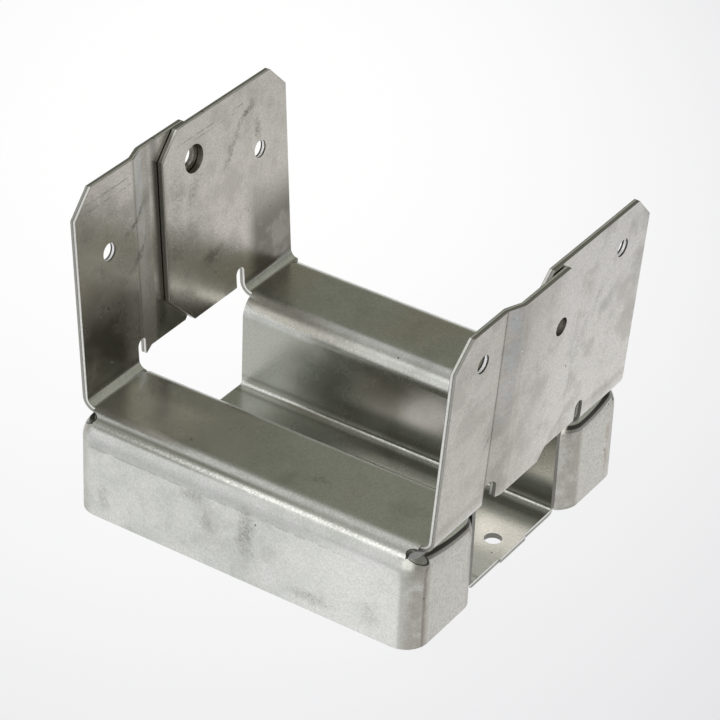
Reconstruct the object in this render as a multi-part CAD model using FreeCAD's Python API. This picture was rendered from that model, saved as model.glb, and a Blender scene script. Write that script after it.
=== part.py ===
import FreeCAD, Part
import math
import os

# Timber post base: one galvanised steel sheet, cut and folded.
# X runs along the front wall, Y to the back, Z up. The origin is the centre of
# the anchor hole on the underside of the base plate.

# Sheet and the seat for the post
sheet = 1.4
seat_width = 90.5
shelf_height = 25.4
total_height = 77.8

# Walls of the two humps, measured from the post axis
front_face = 44.8
rear_face = 42.8
channel_face = 17.1
end_face = 46.0
skirt_drop = 2.2

# Bends
edge_bend = 6.4
shelf_bend = 5.3
foot_bend = 1.0
corner_bend = 5.8
flap_bend = 2.1
curl_start = 24.4

# Flaps
flap_depth = 79.6
flap_lean = 3.6
lap = 8.2
top_chamfer = 6.0
lap_chamfer = 9.0
slot_y = 19.1
slot_width = 3.2
slot_rise = 4.7
joggle = 1.6
left_joggle_start = 18.6
right_joggle_start = 20.7
joggle_bend = 1.0
joggle_angle = 20.0
right_front_drop = 0.8

# Holes, the flaps' own set in from their upright edges and down from their top
nail_hole = 4.4
clear_hole = 7.0
anchor_hole = 14.3
plate_nail_hole = 4.2
plate_nail_inset = 4.9
nail_inset = 11.0
low_nail_drop = 18.5
high_nail_drop = 9.7
left_lap_nail_y = 3.4
left_lap_nail_drop = 9.7
right_lap_nail_y = 1.4
right_lap_nail_drop = 15.5

# Relief at each shelf corner
relief_radius = 2.1
relief_inset = 2.3
relief_tilt = 50.0

# Tie stub left by the press on each end of the base plate
stub_width = 10.6
stub_reach = 0.4

half = sheet / 2
through = joggle + 4 * sheet
plate_drill = 3 * sheet
up = FreeCAD.Vector(0, 0, 1)
lean = math.radians(flap_lean)
flap_edge = flap_depth / 2
shelf_end = channel_face + shelf_bend
root_end = slot_y + slot_width / 2
skirt_turn = math.degrees(math.asin((edge_bend - skirt_drop) / edge_bend))
corner_x = end_face - corner_bend
bend_run = flap_bend / math.tan((math.pi / 2 + lean) / 2)
strip_half = seat_width / 2 - bend_run
flap_foot = shelf_height + bend_run * math.cos(lean)
nail_y = flap_edge - nail_inset
plate_nail_x = strip_half - plate_nail_inset


def in_yz(x):
    return lambda y, z: FreeCAD.Vector(x, y, z)


def in_xz(y):
    return lambda x, z: FreeCAD.Vector(x, y, z)


def on_flap(y, z, off=0.0):
    x = seat_width / 2 + (z - shelf_height) * math.tan(lean)
    return FreeCAD.Vector(x + off * math.cos(lean), y, z - off * math.sin(lean))


flap_normal = on_flap(0, 0, 1) - on_flap(0, 0)
flap_up = FreeCAD.Vector(math.sin(lean), 0, math.cos(lean))


# A strip of sheet followed along its middle: each step runs straight for a
# length or turns by an angle about an inside radius.
def sheet_section(start, heading, steps, place):
    a, b = start
    angle = math.radians(heading)
    left = []
    right = []
    for kind, *step in steps:
        if kind == "run":
            ends = (0.0, step[0])
            spots = [(a + s * math.cos(angle), b + s * math.sin(angle), angle) for s in ends]
        else:
            inside, turn = step
            way = math.copysign(1.0, turn)
            radius = inside + half
            hub = (a - way * radius * math.sin(angle), b + way * radius * math.cos(angle))
            spots = []
            for share in (0.0, 0.5, 1.0):
                now = angle + share * math.radians(turn)
                spot = (hub[0] + way * radius * math.sin(now), hub[1] - way * radius * math.cos(now), now)
                spots.append(spot)
        left.append([place(p - half * math.sin(t), q + half * math.cos(t)) for p, q, t in spots])
        right.append([place(p + half * math.sin(t), q - half * math.cos(t)) for p, q, t in spots])
        a, b, angle = spots[-1]
    right = [side[::-1] for side in reversed(right)]
    edges = [sheet_edge(side) for side in left]
    edges.append(Part.makeLine(left[-1][-1], right[0][0]))
    edges += [sheet_edge(side) for side in right]
    edges.append(Part.makeLine(right[-1][-1], left[0][0]))
    return Part.Face(Part.Wire(edges))


def sheet_edge(points):
    if len(points) == 2:
        return Part.makeLine(*points)
    return Part.Arc(*points).toShape()


def mirrored(shape, normal):
    return shape.mirror(FreeCAD.Vector(0, 0, 0), normal)


def both_ends(shape):
    return [shape, mirrored(shape, FreeCAD.Vector(1, 0, 0))]


# Base plate, the two channel walls and the bends over onto the shelves
def channel():
    rise = shelf_height - shelf_bend - sheet - foot_bend
    steps = [
        ("turn", shelf_bend - sheet, -90),
        ("run", rise),
        ("turn", foot_bend, 90),
        ("run", 2 * (channel_face - foot_bend)),
        ("turn", foot_bend, 90),
        ("run", rise),
        ("turn", shelf_bend - sheet, -90),
    ]
    face = sheet_section((-shelf_end, shelf_height - half), 0, steps, in_yz(-strip_half))
    strip = face.extrude(FreeCAD.Vector(2 * strip_half, 0, 0))
    corner = FreeCAD.Vector(-strip_half - stub_reach, -stub_width / 2, 0)
    stubs = Part.makeBox(2 * (strip_half + stub_reach), stub_width, sheet, corner)
    return strip.fuse(stubs)


# Shelf of a hump with the upper part of its edge bend, front hump
def shelf(wall):
    radius = edge_bend - half
    turned = math.radians(skirt_turn)
    hub_y = edge_bend - wall
    start = (hub_y - radius * math.cos(turned), shelf_height - edge_bend + radius * math.sin(turned))
    steps = [
        ("turn", edge_bend - sheet, skirt_turn - 90),
        ("run", -shelf_end - hub_y),
    ]
    face = sheet_section(start, 90 - skirt_turn, steps, in_yz(-strip_half))
    plate = face.extrude(FreeCAD.Vector(2 * strip_half, 0, 0))
    return plate.cut(reliefs(wall))


# Outer wall wrapped round both ends of a hump, front hump
def skirt(wall):
    steps = [
        ("run", shelf_height - edge_bend),
        ("turn", edge_bend - sheet, -skirt_turn),
    ]
    face = sheet_section((half - wall, 0), 90, steps, in_yz(corner_x))
    front = face.extrude(FreeCAD.Vector(-2 * corner_x, 0, 0))
    hub = FreeCAD.Vector(corner_x, corner_bend - wall, 0)
    corner = face.revolve(hub, up, 90)
    side = face.copy()
    side.rotate(hub, up, 90)
    run = wall - corner_bend - curl_start
    tab = side.extrude(FreeCAD.Vector(0, run, 0))
    side.translate(FreeCAD.Vector(0, run, 0))
    curl = side.revolve(FreeCAD.Vector(corner_x, -curl_start, 0), up, 90)
    end = corner.fuse([tab, curl])
    return front.fuse(both_ends(end))


# Round reliefs where the shelf meets the wrapped corner and the flap, as far
# from the flap in the flat sheet on both humps
def reliefs(wall):
    angle = math.radians(relief_tilt) - (front_face - wall) / (edge_bend - half)
    outward = FreeCAD.Vector(0, -math.cos(angle), math.sin(angle))
    hub = FreeCAD.Vector(end_face - relief_inset, edge_bend - wall, shelf_height - edge_bend)
    start = hub + outward * (edge_bend / 2)
    tool = Part.makeCylinder(relief_radius, edge_bend, start, outward)
    return both_ends(tool)


# Bend between a shelf and its flap, from the flap's upright edge to the slot
def flap_root():
    face = sheet_section((strip_half, shelf_height - half), 0, [("turn", flap_bend, 90 - flap_lean)], in_xz(-flap_edge))
    return face.extrude(FreeCAD.Vector(0, flap_edge - root_end, 0))


# Outline of a flap, seen square to it, front hump; both flaps share it
def flap_outline(top):
    corners = [
        (-flap_edge, flap_foot),
        (-flap_edge, top - top_chamfer),
        (-flap_edge + top_chamfer, top),
        (lap - top_chamfer, top),
        (lap, top - top_chamfer),
        (lap, flap_foot + lap_chamfer),
        (lap - lap_chamfer, flap_foot),
    ]
    points = [on_flap(y, z, -sheet) for y, z in corners]
    face = Part.Face(Part.makePolygon(points + points[:1]))
    return face.extrude(flap_normal * through)


def round_cut(y, z, diameter):
    start = on_flap(y, z, -sheet)
    return Part.makeCylinder(diameter / 2, through, start, flap_normal)


# Slot that parts the flap from the end of the channel strip
def slot():
    radius = slot_width / 2
    foot = flap_foot - sheet
    top = flap_foot + slot_rise - radius
    corners = [(-radius, foot), (-radius, top), (radius, top), (radius, foot)]
    points = [on_flap(y - slot_y, z, -sheet) for y, z in corners]
    crown = on_flap(-slot_y, top, -sheet) + flap_up * radius
    edges = [
        Part.makeLine(points[0], points[1]),
        Part.Arc(points[1], crown, points[2]).toShape(),
        Part.makeLine(points[2], points[3]),
        Part.makeLine(points[3], points[0]),
    ]
    return Part.Face(Part.Wire(edges)).extrude(flap_normal * through)


def flap_body(steps, top):
    def place(y, off):
        return on_flap(y, flap_foot, off)

    face = sheet_section((-flap_edge, half), 0, steps, place)
    length = (total_height - flap_foot) / math.cos(lean)
    return face.extrude(flap_up * length).common(flap_outline(top))


# Front flap, stepped outward so that it laps over the rear one
def front_flap(holes, joggle_start, top):
    angle = math.radians(joggle_angle)
    radius = joggle_bend + half
    slant = (joggle - 2 * radius * (1 - math.cos(angle))) / math.sin(angle)
    across = 2 * radius * math.sin(angle) + slant * math.cos(angle)
    steps = [
        ("run", flap_edge - joggle_start),
        ("turn", joggle_bend, joggle_angle),
        ("run", slant),
        ("turn", joggle_bend, -joggle_angle),
        ("run", joggle_start - across + lap),
    ]
    cuts = [slot()] + [round_cut(y, z, nail_hole) for y, z in holes]
    return flap_body(steps, top).cut(cuts)


# Rear flap, flat, with a wide hole behind the front flap's lapped nail hole
def rear_flap(nail, lapped):
    body = flap_body([("run", flap_edge + lap)], total_height).cut(slot())
    body = mirrored(body, FreeCAD.Vector(0, 1, 0))
    return body.cut([round_cut(*nail, nail_hole), round_cut(*lapped, clear_hole)])


# The two lapped flaps of one side with their bends, right-hand side
def side(nail_drop, lap_nail_y, lap_nail_drop, joggle_start, front_top):
    nail_height = total_height - nail_drop
    lapped = (lap_nail_y, total_height - lap_nail_drop)
    front = front_flap([(-nail_y, nail_height), lapped], joggle_start, front_top)
    rear = rear_flap((nail_y, nail_height), lapped)
    front_root = flap_root()
    rear_root = mirrored(front_root, FreeCAD.Vector(0, 1, 0))
    return [front_root, rear_root, front, rear]


def hump(wall):
    return [shelf(wall), skirt(wall)]


def plate_holes():
    start = FreeCAD.Vector(0, 0, -sheet)
    nail = Part.makeCylinder(plate_nail_hole / 2, plate_drill, start + FreeCAD.Vector(plate_nail_x, 0, 0))
    return both_ends(nail) + [Part.makeCylinder(anchor_hole / 2, plate_drill, start)]


def post_base():
    right_top = total_height - right_front_drop
    right = side(high_nail_drop, right_lap_nail_y, right_lap_nail_drop, right_joggle_start, right_top)
    left = side(low_nail_drop, left_lap_nail_y, left_lap_nail_drop, left_joggle_start, total_height)
    left = [mirrored(piece, FreeCAD.Vector(1, 0, 0)) for piece in left]
    rear = [mirrored(piece, FreeCAD.Vector(0, 1, 0)) for piece in hump(rear_face)]
    folded = channel().fuse(hump(front_face) + rear + right + left).removeSplitter()
    return folded.cut(plate_holes())


body = post_base()
if len(body.Solids) != 1 or not body.isValid():
    raise RuntimeError("the folded sheet is not one sound solid")
body.Solids[0].exportStep("parts/post_base.step")
print("post_base", round(body.Volume, 1), "mm3", body.BoundBox)
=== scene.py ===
import math

import bpy
from mathutils import Matrix, Vector

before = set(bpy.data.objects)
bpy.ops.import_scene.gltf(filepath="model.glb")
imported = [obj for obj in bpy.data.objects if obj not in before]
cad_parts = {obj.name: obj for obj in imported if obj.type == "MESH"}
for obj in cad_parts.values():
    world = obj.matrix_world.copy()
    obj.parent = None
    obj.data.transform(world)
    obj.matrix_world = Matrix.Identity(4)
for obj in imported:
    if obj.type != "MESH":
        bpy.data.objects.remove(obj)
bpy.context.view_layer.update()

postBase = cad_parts["post_base"]


def hexToLinear(hexColour, strength=1.0):
    channels = [int(hexColour[i:i + 2], 16) / 255 for i in (1, 3, 5)]
    linear = [c / 12.92 if c <= 0.04045 else ((c + 0.055) / 1.055) ** 2.4 for c in channels]
    return (*(strength * c for c in linear), 1.0)


def addNode(tree, kind, settings=None, links=None):
    # settings: the node's own options by name, else an input's value by name or number
    # links: what feeds an input, a node or one of its outputs
    node = tree.nodes.new(kind)
    for key, value in (settings or {}).items():
        if isinstance(key, str) and hasattr(node, key):
            setattr(node, key, value)
        else:
            node.inputs[key].default_value = value
    for key, source in (links or {}).items():
        socket = (source if isinstance(source, bpy.types.NodeSocket)
                  else next(o for o in source.outputs if o.enabled))
        tree.links.new(socket, node.inputs[key])
    return node


def newMaterial(name):
    material = bpy.data.materials.new(name)
    material.use_nodes = True
    material.node_tree.nodes.clear()
    return material, material.node_tree


# Hot-dip galvanised mild steel, 1.4 mm coil: dipped in zinc, skin-passed, sheared and folded cold.
# The zinc is a satin, cloudy grey with fine grain, darker stippled smudges from handling and a few
# pin-prick specks. The dies burnish the outside of each bend, and where the highlights fall the burnish
# is painted brighter, as painted highlight. The shear leaves a bright worn half and a torn dull half
# across every cut edge. Metal, so its IOR stays as it is.
zinc = {
    "cloudMm": 7.0,            # spangle clouds
    "paleMm": 24.0,
    "smearMm": 10.0,
    "brokenMm": 3.0,           # where a line or a rub skips
    "grainMm": 0.45,           # skin-pass grain, 0.1 mm on the real sheet: coarser so that it shows
    "stippleMm": 0.55,         # dirt caught in the grain, drawn coarse for the same reason
    "speckMm": 4.6,            # one speck in some of these cells
    "raggedMm": 2.6,           # how fine a smudge's ragged outline is
    "raggedPush": 4.0,         # mm between its furthest in and its furthest out
    "waveHighMm": 0.05,        # the sheet's slight waviness and its grain, from low to high
    "grainHighMm": 0.015,
    "roughness": 0.25,
    "roughnessSwing": 0.05,    # more in the dull clouds, less in the clean ones
    "grainShade": (0.85, 1.13),
}
tones = {
    "clean": "#d6d7d2",        # bare new zinc
    "dull": "#c8cac4",         # the darker clouds of the spangle
    "pale": "#dcddd9",
    "film": "#c6c1b9",         # thin oily film on the flaps, slightly warm
    "tabFilm": "#c9c7bf",
    "thinFilm": "#dad7d0",
    "leftFlapLowShade": "#736f68",
    "blot": "#a39f97",         # broad soft stain
    "smudge": "#797972",       # handling dirt
    "tabStipple": "#8b8a82",
    "rustRun": "#9c8578",
    "shelfLeftLight": "#f3f3ee",        # painted light: near white, brightening what the front shelf's left end mirrors
    "shelfPale": "#e0e1db",
    "brownCast": "#c4b9ad",
    "wallRosyReflection": "#f8f1ea",
    "wallFootShade": "#8c8c84",
    "wallLeftDarker": "#aeb0a8",
    "wallCloud": "#858880",
    "plateDull": "#b4b6ae",
    "plateFootShade": "#8a8b83",
    "platePale": "#eff0ea",
    "scuffed": "#f0f1ec",
    "cornerBendShade": "#a5a299",    # painted shade on the corner bends
    "cornerRub": "#7d716b",
    "frontPale": "#e6e7e2",
    "underBendBand": "#b0b2ab",
    "darkSpeck": "#4a4945",
    "paleSpeck": "#f5f5f2",
    "joggleBlue": "#bcc6ca",
    "burnishAndHighlight": "#edede7",    # rubbed by the folding dies, and painted brighter as painted highlight
    "bendLeftShade": "#85867e",
    "bendUpperShade": "#9b9c92",
    "bendPaleHighlight": "#e6e6e0",
    "rootPaleHighlight": "#dcdcd6",
    "seam": "#4c4a45",         # oil and shadow held in a crease
    "slitGrey": "#94928b",
    "slitShade": "#3d3c38",
    "rootShade": "#5a5953",
    "curlShade": "#4f4c46",
    "reliefInsideShade": "#8f8e87",
    "reliefRimShade": "#2f2e2b",
    "plateHoleWall": "#8d8c85",
    "plateHoleRim": "#75746e",
    "worn": "#e4e4df",         # burnished half of a cut edge
    "torn": "#a3a29c",         # fracture half of a cut edge
    "nailHoleShade": "#5d5852",
    "nailHoleLight": "#ffffff",
    "lapHoleShade": "#6b665e",
    "lapEdge": "#77746e",
}
# The sheet's own measures, in mm, that place the finish on it
fold = {
    "sheet": 1.4,
    "shelfTop": 25.4,
    "flapInside": 45.25,
    "lean": math.tan(math.radians(3.6)),
    "stripEnd": 43.28,
    "tabOutside": 46.0,
    "rootRadius": 2.1,
    "channelFace": 17.1,
    "joggle": 1.6,
    "joggleLong": 5.0,
    "leftJoggle": -18.6,
    "rightJoggle": -20.7,
    "humpMiddle": 26.0,
    "tabSag": 0.0075,          # mm of dip for each square mm away from a tab's middle
}
# Smudges that show on the real base: centre, half lengths and tilt, in mm and degrees
smudges = [
    ((-48.2, 24.0, 71.0), (5, 3.6, 1.3), 24, 1.00),
    ((-47.8, 28.2, 65.0), (5, 1.5, 3.2), 10, 0.75),
    ((-47.7, 18.5, 65.5), (5, 1.3, 8.0), -38, 0.60),
    ((-46.9, 2.5, 60.0), (5, 2.4, 6.0), -30, 0.55),
    ((-47.6, -3.5, 62.0), (5, 2.6, 8.0), 0, 0.35),
    ((-47.0, 0.0, 51.0), (5, 6.0, 4.0), 10, 0.30),
    ((-46.8, -4.5, 47.5), (5, 3.0, 2.4), 0, 0.60),
    ((-46.4, 8.8, 40.5), (5, 4.6, 2.2), 0, 0.90),
    ((-49.0, -18.0, 62.5), (5, 1.0, 6.6), -62, 0.90),
    ((-48.6, -17.6, 53.2), (5, 0.9, 5.2), -65, 0.80),
    ((-48.4, -33.0, 50.5), (5, 3.5, 1.2), 12, 0.45),
    ((-48.0, -28.6, 42.0), (5, 0.7, 1.8), 0, 0.70),
    ((-45.6, -31.0, 29.5), (5, 3.4, 1.6), 20, 0.50),
    ((50.1, -7.0, 56.0), (5, 1.0, 3.4), 20, 0.35),
    ((49.6, -21.8, 45.0), (5, 0.5, 2.2), -35, 0.80),
    ((50.3, 14.0, 50.0), (5, 1.4, 9.0), -24, 0.35),
    ((50.3, 20.0, 58.0), (5, 1.0, 6.0), -20, 0.30),
    ((1.5, -44.8, 13.0), (2.6, 5, 7.5), 0, 0.60),
    ((-13.0, -44.8, 17.0), (4.2, 5, 1.6), 0, 0.50),
    ((-37.5, -44.8, 6.0), (1.8, 5, 3.4), 0, 0.40),
    ((-8.5, -44.8, 13.0), (1.6, 5, 4.6), 0, 0.35),
    ((19.0, -44.8, 3.6), (6.5, 5, 1.6), 0, 0.45),
    ((34.0, -44.8, 6.0), (3.0, 5, 3.6), 0, 0.30),
    ((13.0, -32.5, 25.4), (2.2, 1.4, 5), 0, 0.45),
]
# Lines scribed along the insides of the left flaps' tops: from and to in height, then in y
scribes = [(73.6, 73.85, -3.0, 24.0), (72.5, 72.7, 4.0, 22.0),
           (74.1, 74.35, -36.0, -21.0), (72.2, 72.4, -37.0, -14.0)]


def region(tree, limits, times=(), share=1.0):
    # a mask over the sheet, full inside every limit (value, low, high, edge) and faded over the edges
    total = None
    for value, low, high, edge in limits:
        if low is not None:
            rising = addNode(tree, "ShaderNodeMapRange", {
                "interpolation_type": "SMOOTHSTEP", "From Min": low - edge / 2, "From Max": low + edge / 2},
                {0: value})
            total = rising if total is None else addNode(tree, "ShaderNodeMath", {"operation": "MULTIPLY"},
                                                         {0: total, 1: rising})
        if high is not None:
            falling = addNode(tree, "ShaderNodeMapRange", {
                "interpolation_type": "SMOOTHSTEP", "From Min": high - edge / 2, "From Max": high + edge / 2,
                "To Min": 1.0, "To Max": 0.0}, {0: value})
            total = falling if total is None else addNode(tree, "ShaderNodeMath", {"operation": "MULTIPLY"},
                                                          {0: total, 1: falling})
    for mask in times:
        total = mask if total is None else addNode(tree, "ShaderNodeMath", {"operation": "MULTIPLY"},
                                                   {0: total, 1: mask})
    if share == 1.0:
        return total
    return addNode(tree, "ShaderNodeMath", {"operation": "MULTIPLY", 1: share}, {0: total})


def painted(tree, under, tone, limits, times=(), share=1.0):
    # one finish laid over another where the mask is
    return addNode(tree, "ShaderNodeMix", {"data_type": "RGBA", 7: hexToLinear(tones[tone])},
                   {0: region(tree, limits, times, share), 6: under})


def sheetPlaces(tree):
    # where a point of the sheet lies in mm, which way it looks, and how deep in the sheet's thickness it is
    coordinates = addNode(tree, "ShaderNodeTexCoord")
    place = addNode(tree, "ShaderNodeVectorMath", {"operation": "SCALE", "Scale": 1000.0},
                    {0: coordinates.outputs["Object"]})
    sized = addNode(tree, "ShaderNodeVectorMath", {"operation": "ABSOLUTE"}, {0: place})
    turned = addNode(tree, "ShaderNodeVectorMath", {"operation": "ABSOLUTE"},
                     {0: coordinates.outputs["Normal"]})
    at = {"place": place, "sized": sized, "facing": coordinates.outputs["Normal"]}
    for names, vector in ((("x", "y", "z"), place), (("ax", "ay", "az"), sized),
                          (("nx", "ny", "nz"), turned)):
        parts = addNode(tree, "ShaderNodeSeparateXYZ", {}, {0: vector})
        at.update(zip(names, parts.outputs))
    signed = addNode(tree, "ShaderNodeSeparateXYZ", {}, {0: coordinates.outputs["Normal"]})
    at["up"] = signed.outputs[2]
    # distance out from the inside of the leaning flap
    leaning = addNode(tree, "ShaderNodeMath", {"operation": "MULTIPLY_ADD", 1: -fold["lean"],
                                               2: fold["lean"] * fold["shelfTop"] - fold["flapInside"]},
                      {0: at["z"]})
    outward = addNode(tree, "ShaderNodeMath", {"operation": "ADD"}, {0: at["ax"], 1: leaning})
    # the front flaps step out at the joggle, which starts at another place on each side
    right = addNode(tree, "ShaderNodeMath", {"operation": "GREATER_THAN", 1: 0.0}, {0: at["x"]})
    start = addNode(tree, "ShaderNodeMapRange", {"To Min": fold["leftJoggle"], "To Max": fold["rightJoggle"]},
                    {0: right})
    along = addNode(tree, "ShaderNodeMath", {"operation": "SUBTRACT"}, {0: at["y"], 1: start})
    stepped = addNode(tree, "ShaderNodeMapRange", {"From Max": fold["joggleLong"], "To Max": fold["joggle"]},
                      {0: along})
    depth = addNode(tree, "ShaderNodeMath", {"operation": "SUBTRACT"}, {0: outward, 1: stepped})
    behind = addNode(tree, "ShaderNodeMath", {"operation": "LESS_THAN", 1: -0.1}, {0: depth})
    at["flapDepth"] = addNode(tree, "ShaderNodeMath", {"operation": "MULTIPLY_ADD", 1: fold["joggle"]},
                              {0: behind, 2: depth})
    at["joggleAlong"] = along
    at["right"] = right
    # the same depth round the bend at a flap's root
    arm = addNode(tree, "ShaderNodeMath", {"operation": "SUBTRACT", 1: fold["stripEnd"]}, {0: at["ax"]})
    drop = addNode(tree, "ShaderNodeMath",
                   {"operation": "SUBTRACT", 0: fold["shelfTop"] + fold["rootRadius"]},
                   {1: at["z"]})
    armSquare = addNode(tree, "ShaderNodeMath", {"operation": "MULTIPLY"}, {0: arm, 1: arm})
    square = addNode(tree, "ShaderNodeMath", {"operation": "MULTIPLY_ADD"}, {0: drop, 1: drop, 2: armSquare})
    radius = addNode(tree, "ShaderNodeMath", {"operation": "SQRT"}, {0: square})
    at["rootDepth"] = addNode(tree, "ShaderNodeMath", {"operation": "SUBTRACT", 1: fold["rootRadius"]},
                              {0: radius})
    return at


def zincPatterns(tree, at):
    # clouds, grain, stipple and specks, each sized from its millimetres
    for name, size, detail, rough, seed in (
            ("cloud", zinc["cloudMm"], 4.0, 0.55, 1.3), ("wide", zinc["paleMm"], 2.0, 0.5, 4.1),
            ("smeared", zinc["smearMm"], 3.0, 0.55, 7.7), ("grain", zinc["grainMm"], 2.0, 0.6, 2.2),
            ("stippled", zinc["stippleMm"], 3.0, 0.65, 5.9), ("broken", zinc["brokenMm"], 4.0, 0.6, 8.4)):
        at[name] = addNode(tree, "ShaderNodeTexNoise", {
            "noise_dimensions": "4D", "W": seed, "Scale": 1 / size, "Detail": detail, "Roughness": rough},
            {"Vector": at["place"]})
    for name, pattern, middle, edge in (
            ("clouds", "cloud", 0.50, 0.34), ("paleness", "wide", 0.50, 0.24),
            ("stipple", "stippled", 0.51, 0.10), ("smear", "smeared", 0.62, 0.30),
            ("patchy", "broken", 0.50, 0.16), ("sparkle", "grain", 0.50, 0.30)):
        at[name] = region(tree, [(at[pattern], middle, None, edge)])
    cells = addNode(tree, "ShaderNodeTexVoronoi", {"Scale": 1 / zinc["speckMm"]}, {"Vector": at["place"]})
    chance = addNode(tree, "ShaderNodeSeparateColor", {}, {0: cells.outputs["Color"]}).outputs[0]
    at["darkSpeck"] = region(tree, [(cells.outputs["Distance"], None, 0.055, 0.03),
                                    (chance, 0.80, None, 0.02)])
    at["paleSpeck"] = region(tree, [(cells.outputs["Distance"], None, 0.045, 0.03),
                                    (chance, None, 0.12, 0.02)])


def sheetFaces(at):
    # the limits that pick out one kind of face of the folded sheet
    x, y, z, ax, ay, nx, nz = (at[name] for name in ("x", "y", "z", "ax", "ay", "nx", "nz"))
    channelWall = [(ay, fold["channelFace"] - 0.2, fold["channelFace"] + 1.7, 0.2)]
    bend = [(nx, None, 0.3, 0.1), (z, 18.0, fold["shelfTop"], 0.4)]
    return {
        "shelf": [(z, fold["shelfTop"] - 0.2, None, 0.2), (nz, 0.95, None, 0.05)],
        "plate": [(z, fold["sheet"] - 0.4, fold["sheet"] + 0.4, 0.2)],
        "channelWall": channelWall,
        "rearChannelWall": channelWall + [(y, 0.0, None, 1.0)],
        "leftFlap": [(x, None, -44.0, 1.0), (nx, 0.95, None, 0.02)],
        "insideFlap": [(at["flapDepth"], None, 0.7, 0.2)],
        "tab": [(ax, fold["tabOutside"] - 0.4, None, 0.4), (z, None, 24.0, 1.0)],
        "outerBend": bend + [(ay, 34.0, None, 1.0)],
        "channelBend": bend + [(ay, 15.0, 26.0, 1.0)],
    }


def bareZinc(tree, at):
    # spangle clouds over grain
    colour = addNode(tree, "ShaderNodeMix", {"data_type": "RGBA", 6: hexToLinear(tones["dull"]),
                                             7: hexToLinear(tones["clean"])}, {0: at["clouds"]})
    return painted(tree, colour, "pale", [(at["paleness"], 0.5, None, 1.0)], share=0.35)


def filmAndStains(tree, at, faces, colour):
    x, y, z, ax, ay, nx, ny, nz = (at[name] for name in ("x", "y", "z", "ax", "ay", "nx", "ny", "nz"))
    flaps = region(tree, [(z, 27.0, None, 2.0)])
    tabs = region(tree, faces["tab"])
    at["scuffed"] = region(tree, faces["plate"] + [(x, 31.0, None, 8.0), (y, None, -6.0, 7.0),
                                                   (nz, 0.95, None, 0.05)])
    corner = region(tree, [(nx, 0.35, None, 0.7), (ny, 0.12, None, 0.2), (z, None, 23.3, 0.3),
                           (ax, 40.5, None, 0.4)])
    frontWall = region(tree, [(ny, 0.97, None, 0.04), (ay, 42.0, None, 0.5), (z, None, 24.0, 1.0)])
    coats = (
        # oily film on the flaps, thinner behind at the right; the left flaps are painted darker low down, as
        # painted shade
        ("film", [], [flaps], 1.0),
        ("tabFilm", faces["tab"], [], 1.0),
        ("thinFilm", [(x, 44.0, None, 1.0), (y, -4.0, None, 20.0)], [flaps], 1.0),
        ("blot", [(x, 45.0, None, 1.0), (z, 28.4, 30.4, 1.6), (ay, 20.0, None, 2.0)], [], 0.35),
        ("leftFlapLowShade", faces["leftFlap"] + [(z, None, 46.0, 16.0), (ay, 24.0, None, 6.0)], [flaps], 1.0),
        # painted light: the front shelf's left end is painted near white
        ("shelfLeftLight", faces["shelf"] + [(x, None, -22.0, 14.0), (y, None, -27.0, 5.0)], [], 1.0),
        # the channel's rear wall gets a pale rosy painted reflection and painted shade at its foot; the
        # channel walls are darker to the left, with a darker patch
        ("wallRosyReflection", faces["rearChannelWall"] + [(x, -10.0, None, 12.0), (z, 9.0, 20.0, 6.0)], [], 1.0),
        ("wallFootShade", faces["rearChannelWall"] + [(x, -27.0, None, 8.0), (z, 2.4, 8.5, 4.0)], [], 1.0),
        ("wallLeftDarker", faces["channelWall"] + [(x, None, -18.0, 16.0), (z, 2.0, 21.0, 2.0)], [], 1.0),
        ("wallCloud", faces["channelWall"] + [(x, -28.0, -15.0, 11.0), (z, 6.0, 17.0, 7.0)], [], 0.7),
        # the base plate is dull, with painted shade along the rear wall's foot, and scuffed pale towards its
        # front right corner
        ("plateDull", faces["plate"] + [(ay, None, 16.0, 1.0), (x, -32.0, None, 14.0)], [], 1.0),
        ("plateFootShade", faces["plate"] + [(y, 12.0, 16.4, 2.0), (x, -6.0, None, 16.0)], [], 1.0),
        ("platePale", faces["plate"] + [(y, -8.0, 8.0, 5.0), (x, 30.0, None, 10.0)], [], 1.0),
        ("scuffed", [], [at["scuffed"]], 1.0),
        # the shelves are paler to the right, with a brown cast on the rear one
        ("shelfPale", faces["shelf"] + [(x, 14.0, None, 20.0)], [], 0.7),
        ("brownCast", faces["shelf"] + [(y, 24.0, None, 4.0)], [at["paleness"]], 0.5),
        # stains and stipple on the flaps, stipple and a rusty run on the tabs
        ("blot", [(at["cloud"], None, 0.45, 0.16)], [flaps], 0.45),
        ("smudge", [(at["stipple"], 0.5, None, 1.0), (at["cloud"], 0.42, None, 0.2)], [flaps], 0.14),
        ("tabStipple", [(at["stipple"], 0.5, None, 1.0)], [tabs], 0.26),
        ("rustRun", [(y, 35.6, 37.0, 1.6), (z, 4.0, 18.0, 6.0), (at["broken"], 0.40, None, 0.2)],
         [tabs], 0.55),
        # the corner bends are painted darker as painted shade, with a rub mark where the wall was folded
        # round
        ("cornerBendShade", [(at["broken"], None, 0.64, 0.5)], [corner], 0.95),
        ("cornerRub", [(nx, 0.925, 0.965, 0.03), (at["broken"], 0.40, None, 0.2), (y, None, 0.0, 1.0)],
         [corner], 0.6),
        # the front wall is paler to the right, and darker in a band under the bend with a fine line below it
        ("frontPale", [(x, 16.0, None, 26.0), (y, None, -40.0, 1.0), (ny, 0.97, None, 0.04),
                       (z, None, 24.0, 1.0)], [], 0.8),
        ("underBendBand", [(z, 18.7, None, 0.5), (x, None, 22.0, 24.0)], [frontWall], 0.55),
        ("smudge", [(z, 18.4, 18.75, 0.3), (x, None, 26.0, 24.0)], [frontWall, at["patchy"]], 0.40),
        ("smudge", [(at["smear"], 0.5, None, 1.0)], [], 0.20),
    )
    for tone, limits, masks, share in coats:
        colour = painted(tree, colour, tone, limits, masks, share)
    return colour


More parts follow.
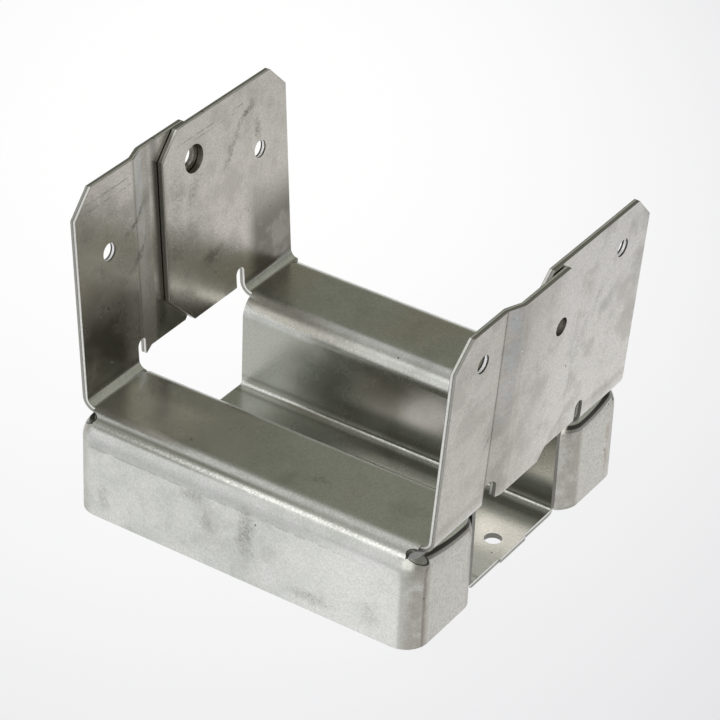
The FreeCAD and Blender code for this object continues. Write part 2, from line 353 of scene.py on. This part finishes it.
def handlingDirt(tree, at, colour):
    # soft ovals of dirt with ragged outlines, stippled by the grain, then the specks
    shift = addNode(tree, "ShaderNodeTexNoise",
                    {"Scale": 1 / zinc["raggedMm"], "Detail": 3.0, "Roughness": 0.5},
                    {"Vector": at["place"]})
    centred = addNode(tree, "ShaderNodeVectorMath", {"operation": "SUBTRACT", 1: (0.5, 0.5, 0.5)},
                      {0: shift.outputs["Color"]})
    pushed = addNode(tree, "ShaderNodeVectorMath",
                     {"operation": "MULTIPLY_ADD", 1: (zinc["raggedPush"],) * 3},
                     {0: centred, 2: at["place"]})
    dirt = None
    for centre, half, tilt, strength in smudges:
        local = addNode(tree, "ShaderNodeMapping", {
            "vector_type": "TEXTURE", "Location": centre, "Rotation": (math.radians(tilt), 0, 0),
            "Scale": half},
            {"Vector": pushed})
        reach = addNode(tree, "ShaderNodeVectorMath", {"operation": "LENGTH"}, {0: local})
        spot = addNode(tree, "ShaderNodeMapRange", {
            "interpolation_type": "SMOOTHSTEP", "From Min": 0.25, "From Max": 1.35,
            "To Min": strength, "To Max": 0.0},
            {0: reach.outputs["Value"]})
        dirt = spot if dirt is None else addNode(tree, "ShaderNodeMath", {"operation": "MAXIMUM"},
                                                 {0: dirt, 1: spot})
    at["dirt"] = dirt
    stippled = addNode(tree, "ShaderNodeMapRange", {"To Min": 0.42, "To Max": 1.0}, {0: at["stipple"]})
    for tone, masks in (("smudge", [dirt, stippled]), ("darkSpeck", [at["darkSpeck"]]),
                        ("paleSpeck", [at["paleSpeck"]])):
        colour = painted(tree, colour, tone, [], masks)
    return colour


def scribesAndJoggles(tree, at, faces, colour):
    y, z, nx, along = at["y"], at["z"], at["nx"], at["joggleAlong"]
    inside = region(tree, faces["leftFlap"] + faces["insideFlap"] + [(z, 60.0, None, 1.0)])
    for low, high, near, far in scribes:
        colour = painted(tree, colour, "seam", [(z, low, high, 0.2), (y, near, far, 2.0)],
                         [inside, at["patchy"]], 0.5)
    # the pressed slope has a bluish sheen, and its crease is painted dark with oil and painted shade,
    # stronger on the right
    at["joggleSide"] = region(tree, [(z, 27.0, None, 1.0), (along, -0.6, 7.0, 1.0), (nx, 0.9, None, 0.04)])
    crease = addNode(tree, "ShaderNodeMapRange", {"To Min": 0.28, "To Max": 0.55}, {0: at["right"]})
    colour = painted(tree, colour, "joggleBlue", [(along, 0.4, 4.6, 2.4), (z, 50.0, None, 30.0)],
                     [at["joggleSide"], at["patchy"]], 0.40)
    return painted(tree, colour, "seam", [(along, -0.35, 0.15, 0.25)], [at["joggleSide"], crease])


def rubbedBends(tree, at, faces, colour):
    # the dies rub the humps' outer bends bright half way round, the channel's nearer the wall; these bands
    # and a pale band near the top of the outer bends are painted where the highlights fall, as painted
    # highlight
    x, z, up, ax, ay = (at[name] for name in ("x", "z", "up", "ax", "ay"))
    rubAndHighlightSpeckle = addNode(tree, "ShaderNodeMapRange", {"To Min": 0.40, "To Max": 1.0}, {0: at["sparkle"]})
    toRight = addNode(tree, "ShaderNodeMapRange", {"From Min": -36.0, "From Max": 10.0, "To Min": 0.12},
                      {0: x})
    # painted shade: the outer bends are painted darker to the left and in a band above the rubbed one,
    # dimming their highlight
    colour = painted(tree, colour, "bendLeftShade",
                     faces["outerBend"] + [(up, 0.6, 0.80, 0.09), (x, None, -5.0, 36.0)], share=0.92)
    colour = painted(tree, colour, "bendUpperShade",
                     faces["outerBend"] + [(up, 0.79, 0.87, 0.07), (x, None, 10.0, 40.0)])
    colour = painted(tree, colour, "bendPaleHighlight", faces["outerBend"] + [(up, 0.90, 0.97, 0.06)], [rubAndHighlightSpeckle], 0.8)
    # a fine line on each side of the bend at the channel's foot
    colour = painted(tree, colour, "smudge", faces["plate"] + [(ay, 13.9, 14.9, 0.5)], share=0.3)
    colour = painted(tree, colour, "smudge", [(ay, 17.0, 17.2, 0.2), (z, 3.4, 4.3, 0.5)], share=0.3)
    outerBend = region(tree, faces["outerBend"] + [(up, 0.66, 0.77, 0.09)], [rubAndHighlightSpeckle, toRight])
    at["channelBend"] = region(tree, faces["channelBend"] + [(up, 0.36, 0.53, 0.12)], [rubAndHighlightSpeckle], 0.55)
    footBend = region(tree, [(up, 0.1, 0.95, 0.3), (at["nx"], None, 0.3, 0.1), (z, 1.3, 3.2, 0.4),
                             (ay, 15.2, 17.3, 0.4)], [rubAndHighlightSpeckle], 0.6)
    bright = addNode(tree, "ShaderNodeMath", {"operation": "MAXIMUM"}, {0: outerBend, 1: at["channelBend"]})
    at["bright"] = addNode(tree, "ShaderNodeMath", {"operation": "MAXIMUM"}, {0: bright, 1: footBend})
    colour = painted(tree, colour, "burnishAndHighlight", [], [at["bright"]])
    # each flap's fold gets a pale band on the shelf, as painted highlight, and a dark crease on the flap
    # in the inside corner, as painted shade
    colour = painted(tree, colour, "rootPaleHighlight", faces["shelf"] + [(ax, 41.8, 43.2, 0.9)], [rubAndHighlightSpeckle], 0.35)
    colour = painted(tree, colour, "seam", [
        (z, 26.3, 28.2, 1.4), (ax, 44.0, 46.0, 0.6), (ay, 20.7, None, 0.5), (at["nx"], 0.55, None, 0.2),
        (at["flapDepth"], None, 0.3, 0.2)], share=0.50)
    # painted reflection: a dark band on the front flap beside the rear flap's lap, mirroring the lap's dark
    # edge
    return painted(tree, colour, "seam", faces["leftFlap"] + faces["insideFlap"] + [
        (at["y"], -10.6, -8.0, 2.2), (z, 30.0, None, 4.0)], share=0.5)


def slitsAndHoles(tree, at, colour):
    y, z, ax, ay = at["y"], at["z"], at["ax"], at["ay"]
    # the sheared top of each tab dips in its middle under the flap's foot and is painted grey there, and the
    # slit between them is painted dark as painted shade
    fromMiddle = addNode(tree, "ShaderNodeMath", {"operation": "SUBTRACT", 1: fold["humpMiddle"]}, {0: ay})
    square = addNode(tree, "ShaderNodeMath", {"operation": "MULTIPLY"}, {0: fromMiddle, 1: fromMiddle})
    dip = addNode(tree, "ShaderNodeMath", {"operation": "MULTIPLY_ADD", 1: -fold["tabSag"]},
                  {0: square, 2: z})
    tabFace = region(tree, [(ax, 43.6, None, 0.4), (z, 17.0, 24.2, 0.2), (ay, 18.0, 42.6, 0.6)])
    for tone, low, high, edge, share in (
            ("slitGrey", 20.95, 22.4, 0.2, 1.0), ("seam", 20.80, 21.0, 0.2, 0.5),
            ("slitShade", 21.5, 22.4, 0.3, 0.95)):
        colour = painted(tree, colour, tone, [(dip, low, high, edge)], [tabFace], share)
    colour = painted(tree, colour, "rootShade", [
        (ax, 43.4, None, 0.3), (z, 23.3, 24.1, 0.4), (at["rootDepth"], 1.2, None, 0.1)], share=0.5)
    # the tab's curled end is dark where it meets the channel wall
    colour = painted(tree, colour, "curlShade", [
        (ax, 40.0, 45.6, 0.3), (ay, 18.3, 19.0, 0.3), (z, None, 21.5, 0.4)], share=0.8)
    # painted shade in the reliefs, front and rear, a dim inside and a dark rim; then the wall and rim of
    # the plate's nail holes: centre, turn, half lengths
    holes = (
        ((43.4, 37.94, 19.39), -40.0, (2.05, 1.40, 1000.0), [(z, 19.5, None, 0.3), (y, None, 0.0, 1.0)],
         "reliefInsideShade", "reliefRimShade"),
        ((43.4, 35.94, 19.39), -60.1, (2.05, 1.40, 1000.0), [(z, 19.5, None, 0.3), (y, 0.0, None, 1.0)],
         "reliefInsideShade", "reliefRimShade"),
        ((38.38, 0.0, 0.0), 0.0, (2.16, 2.16, 1000.0), [(z, None, 1.35, 0.1)],
         "plateHoleWall", "plateHoleRim"))
    for centre, turn, half, limits, wall, rim in holes:
        drill = addNode(tree, "ShaderNodeMapping", {
            "vector_type": "TEXTURE", "Location": centre, "Rotation": (math.radians(turn), 0, 0),
            "Scale": half},
            {"Vector": at["sized"]})
        reach = addNode(tree, "ShaderNodeVectorMath", {"operation": "LENGTH"}, {0: drill}).outputs["Value"]
        inHole = region(tree, [(reach, None, 1.04, 0.06)] + limits)
        colour = painted(tree, colour, wall, [], [inHole])
        colour = painted(tree, colour, rim, [(reach, 0.89, None, 0.06)], [inHole], 0.85)
    return colour


def cutEdges(tree, at, colour):
    # across each cut: a hair line of oil and painted shade at the burr, the bright worn half, a hair line,
    # then the torn half
    x, z, ax, ay = at["x"], at["z"], at["ax"], at["ay"]
    flapCut = region(tree, [(z, 27.4, None, 0.2), (at["nx"], None, 0.82, 0.04)])
    rootCut = region(tree, [(z, 23.3, 27.4, 0.2), (at["ny"], 0.85, None, 0.1), (ax, 43.3, None, 0.1)])
    tabCut = region(tree, [(z, 22.9, 23.4, 0.1), (at["nz"], 0.8, None, 0.1)])
    stripCut = region(tree, [(ax, 43.2, 43.9, 0.1), (at["nx"], 0.93, None, 0.06), (z, None, 26.0, 0.2)])
    tabDepth = addNode(tree, "ShaderNodeMath", {"operation": "SUBTRACT", 0: fold["tabOutside"]}, {1: ax})
    plateDepth = addNode(tree, "ShaderNodeMath", {"operation": "SUBTRACT", 0: fold["sheet"]}, {1: z})
    at["cut"] = None
    for mask, depth in ((flapCut, at["flapDepth"]), (rootCut, at["rootDepth"]), (tabCut, tabDepth),
                        (stripCut, plateDepth)):
        colour = painted(tree, colour, "torn", [], [mask])
        colour = painted(tree, colour, "worn", [(depth, 0.10, 0.70, 0.12)], [mask])
        colour = painted(tree, colour, "seam", [(depth, 0.62, 0.80, 0.10)], [mask], 0.7)
        colour = painted(tree, colour, "seam", [(depth, None, 0.08, 0.06)], [mask], 0.5)
        at["cut"] = mask if at["cut"] is None else addNode(tree, "ShaderNodeMath", {"operation": "MAXIMUM"},
                                                           {0: at["cut"], 1: mask})
    # the nail holes' walls get painted shade and a painted highlight in their middle, the lapped holes get
    # painted shade, and the lap's edge stays dark
    at["nailHoles"] = region(tree, [(ay, 25.5, 32.5, 0.2), (z, 55.0, 72.0, 0.2)], [flapCut])
    lapHoles = region(tree, [(ay, None, 7.4, 0.2), (z, 58.0, 72.5, 0.2)], [flapCut])
    lapEdge = region(tree, [(ay, 8.0, 8.4, 0.1), (x, None, -44.0, 1.0)], [flapCut])
    for tone, limits, mask, share in (
            ("nailHoleShade", [], at["nailHoles"], 1.0),
            ("nailHoleLight", [(at["flapDepth"], 0.40, 0.98, 0.16)], at["nailHoles"], 1.0),
            ("lapHoleShade", [(at["broken"], 0.3, None, 0.3)], lapHoles, 0.9),
            ("lapEdge", [(at["flapDepth"], 0.3, None, 0.2)], lapEdge, 0.85)):
        colour = painted(tree, colour, tone, limits, [mask], share)
    return colour


def sheetRoughness(tree, at):
    roughness = addNode(tree, "ShaderNodeMapRange", {
        "From Min": 0.3, "From Max": 0.7, "To Min": zinc["roughness"] + zinc["roughnessSwing"],
        "To Max": zinc["roughness"] - zinc["roughnessSwing"]}, {0: at["cloud"]})
    for name, change in (("bright", -0.05), ("channelBend", 0.10), ("nailHoles", 0.30), ("dirt", 0.05),
                         ("cut", 0.18), ("scuffed", 0.25), ("joggleSide", 0.15)):
        roughness = addNode(tree, "ShaderNodeMath", {"operation": "MULTIPLY_ADD", 1: change},
                            {0: at[name], 2: roughness})
    return roughness


def sheetNormal(tree, at):
    # the joggles' pressed slopes are rounded off, and the sheet is slightly wavy and grained
    eased = addNode(tree, "ShaderNodeMapRange", {"To Min": 1.0, "To Max": 0.25}, {0: at["joggleSide"]})
    easing = addNode(tree, "ShaderNodeCombineXYZ", {"X": 1.0, "Z": 1.0}, {"Y": eased})
    flattened = addNode(tree, "ShaderNodeVectorMath", {"operation": "MULTIPLY"}, {0: at["facing"], 1: easing})
    normal = addNode(tree, "ShaderNodeVectorMath", {"operation": "NORMALIZE"}, {0: flattened})
    for pattern, highMm in (("cloud", zinc["waveHighMm"]), ("grain", zinc["grainHighMm"])):
        normal = addNode(tree, "ShaderNodeBump", {"Distance": highMm / 1000},
                         {"Height": at[pattern], "Normal": normal})
    return normal


def makeGalvanised():
    material, tree = newMaterial("hotDipGalvanisedSteel")
    at = sheetPlaces(tree)
    zincPatterns(tree, at)
    faces = sheetFaces(at)
    colour = bareZinc(tree, at)
    colour = filmAndStains(tree, at, faces, colour)
    colour = handlingDirt(tree, at, colour)
    colour = scribesAndJoggles(tree, at, faces, colour)
    colour = rubbedBends(tree, at, faces, colour)
    colour = slitsAndHoles(tree, at, colour)
    colour = cutEdges(tree, at, colour)
    # grain over everything
    shade = addNode(tree, "ShaderNodeMapRange", {
        "From Min": 0.25, "From Max": 0.75, "To Min": zinc["grainShade"][0], "To Max": zinc["grainShade"][1]},
        {0: at["grain"]})
    colour = addNode(tree, "ShaderNodeVectorMath", {"operation": "SCALE"}, {0: colour, "Scale": shade})
    shader = addNode(tree, "ShaderNodeBsdfPrincipled", {"Metallic": 1.0}, {
        "Base Color": colour, "Roughness": sheetRoughness(tree, at), "Normal": sheetNormal(tree, at)})
    addNode(tree, "ShaderNodeOutputMaterial", {}, {"Surface": shader})
    print("galvanised steel made,", len(tree.nodes), "nodes")
    return material


postBase.data.materials.clear()
postBase.data.materials.append(makeGalvanised())


# A pale table lit from within under white studio cards; the room behind the table is dim
studio = {
    "floorSize": 8.0,
    "glowPeak": 0.95, "glowDrop": 0.0584, "glowPower": 2.1,   # the glow and how it fades per 100 mm
    "glowPlace": (-0.1192, 0.1130, 0.0), "glowTurn": 33.8, "glowLong": 1.72,
    "glowLeast": 0.70,
    "glowTone": "#ffffff", "farTone": "#fcfcff",
    "bounce": "#585858",
    # little light comes up under the humps and the plate: centre, half lengths in mm, share of the glow left
    "shades": (((0, -31.5, 0), (43.5, 12.0, 40.0), 0.38), ((0, 30.5, 0), (43.5, 11.0, 40.0), 0.38),
               ((0, 0, 0), (31.0, 16.0, 40.0), 0.45)),
    "camera": (0.326968, -0.512894, 0.436156),
    "target": (0.001793, -0.001350, 0.035719),
    "roll": 2.4154,             # degrees
    "lens": 162.235,            # mm on a 36 mm sensor
}
# what the metal mirrors: the way to each card, how wide it is from full to faded, its tone and brightness
room = {"tone": "#fafaf3", "strength": 0.50}
cards = {
    "frontWall": ((-0.55, -0.82, 0.10), 22, 55, "#ffffff", 0.88),
    "overheadCard": ((-0.45, 0.28, 0.85), 12, 34, "#ffffff", 0.66),
    "backFlag": ((-0.45, 0.72, 0.53), 16, 34, "#f5f7e1", 0.245),
    "stripLight": ((-0.45, -0.60, 0.66), 5, 12, "#ffffff", 1.30),
    "rightWall": ((0.75, 0.60, 0.25), 20, 50, "#ffffff", 0.60),
    "backRightFlag": ((0.50, 0.71, 0.49), 17, 36, "#f5f7e6", 0.41),
    "frontRightCard": ((0.45, -0.82, 0.36), 16, 36, "#ffffff", 1.55),
}


def makeFloor():
    bpy.ops.mesh.primitive_plane_add(size=studio["floorSize"], location=(0, 0, 0))
    floor = bpy.context.object
    floor.name = "lightTable"
    # cast opal sheet: its even glow from below is brightest behind the base
    material, tree = newMaterial("opalAcrylicTable")
    place = addNode(tree, "ShaderNodeTexCoord").outputs["Object"]
    local = addNode(tree, "ShaderNodeMapping", {
        "vector_type": "TEXTURE", "Location": studio["glowPlace"],
        "Rotation": (0, 0, math.radians(studio["glowTurn"])),
        "Scale": (0.1, 0.1 * studio["glowLong"], 0.1)}, {"Vector": place})
    reach = addNode(tree, "ShaderNodeVectorMath", {"operation": "LENGTH"}, {0: local}).outputs["Value"]
    fade = addNode(tree, "ShaderNodeMath", {"operation": "POWER", 1: studio["glowPower"]}, {0: reach})
    glow = addNode(tree, "ShaderNodeMath",
                   {"operation": "MULTIPLY_ADD", 1: -studio["glowDrop"], 2: studio["glowPeak"]},
                   {0: fade})
    glow = addNode(tree, "ShaderNodeMath", {"operation": "MAXIMUM", 1: studio["glowLeast"]}, {0: glow})
    for centre, half, left in studio["shades"]:
        under = addNode(tree, "ShaderNodeMapping", {
            "vector_type": "TEXTURE", "Location": [v / 1000 for v in centre],
            "Scale": [v / 1000 for v in half]},
            {"Vector": place})
        underSize = addNode(tree, "ShaderNodeVectorMath", {"operation": "ABSOLUTE"}, {0: under})
        sides = addNode(tree, "ShaderNodeSeparateXYZ", {}, {0: underSize})
        furthest = addNode(tree, "ShaderNodeMath", {"operation": "MAXIMUM"},
                           {0: sides.outputs[0], 1: sides.outputs[1]})
        uncovered = addNode(tree, "ShaderNodeMapRange", {
            "interpolation_type": "SMOOTHSTEP", "From Min": 0.93, "From Max": 1.03, "To Min": left},
            {0: furthest})
        glow = addNode(tree, "ShaderNodeMath", {"operation": "MULTIPLY"}, {0: glow, 1: uncovered})
    far = addNode(tree, "ShaderNodeMapRange", {"From Min": 0.5, "From Max": 2.2}, {0: reach})
    colour = addNode(tree, "ShaderNodeMix", {"data_type": "RGBA", 6: hexToLinear(studio["glowTone"]),
                                             7: hexToLinear(studio["farTone"])}, {0: far})
    shader = addNode(tree, "ShaderNodeBsdfPrincipled", {
        "Base Color": hexToLinear(studio["bounce"]), "Roughness": 0.7, "Specular IOR Level": 0.0},
        {"Emission Color": colour, "Emission Strength": glow})
    addNode(tree, "ShaderNodeOutputMaterial", {}, {"Surface": shader})
    floor.data.materials.append(material)


def makeRoom():
    world = bpy.data.worlds.new("dimStudio")
    world.use_nodes = True
    tree = world.node_tree
    tree.nodes.clear()
    way = addNode(tree, "ShaderNodeTexCoord").outputs["Generated"]
    light = None
    for name, (aim, full, faded, tone, strength) in cards.items():
        toward = addNode(tree, "ShaderNodeVectorMath",
                         {"operation": "DOT_PRODUCT", 1: Vector(aim).normalized()},
                         {0: way})
        card = addNode(tree, "ShaderNodeMapRange", {
            "interpolation_type": "SMOOTHSTEP", "From Min": math.cos(math.radians(faded)),
            "From Max": math.cos(math.radians(full))}, {0: toward.outputs["Value"]})
        mixed = addNode(tree, "ShaderNodeMix",
                        {"data_type": "RGBA", "label": name, 7: hexToLinear(tone, strength)},
                        {0: card})
        if light is None:
            mixed.inputs[6].default_value = hexToLinear(room["tone"], room["strength"])
        else:
            tree.links.new(light.outputs[2], mixed.inputs[6])
        light = mixed
    back = addNode(tree, "ShaderNodeBackground", {}, {"Color": light})
    addNode(tree, "ShaderNodeOutputWorld", {}, {"Surface": back})
    bpy.context.scene.world = world


def makeCamera():
    data = bpy.data.cameras.new("camera")
    data.sensor_width, data.lens = 36.0, studio["lens"]
    data.clip_start, data.clip_end = 0.05, 20.0
    camera = bpy.data.objects.new("camera", data)
    bpy.context.scene.collection.objects.link(camera)
    eye, target = Vector(studio["camera"]), Vector(studio["target"])
    aim = (target - eye).to_track_quat("-Z", "Y").to_matrix().to_4x4()
    camera.matrix_world = (Matrix.Translation(eye) @ aim
                           @ Matrix.Rotation(math.radians(studio["roll"]), 4, "Z"))
    bpy.context.scene.camera = camera


makeFloor()
makeRoom()
makeCamera()
bpy.context.scene.view_settings.view_transform = "Standard"
bpy.context.view_layer.update()
print("light table, room and camera placed")
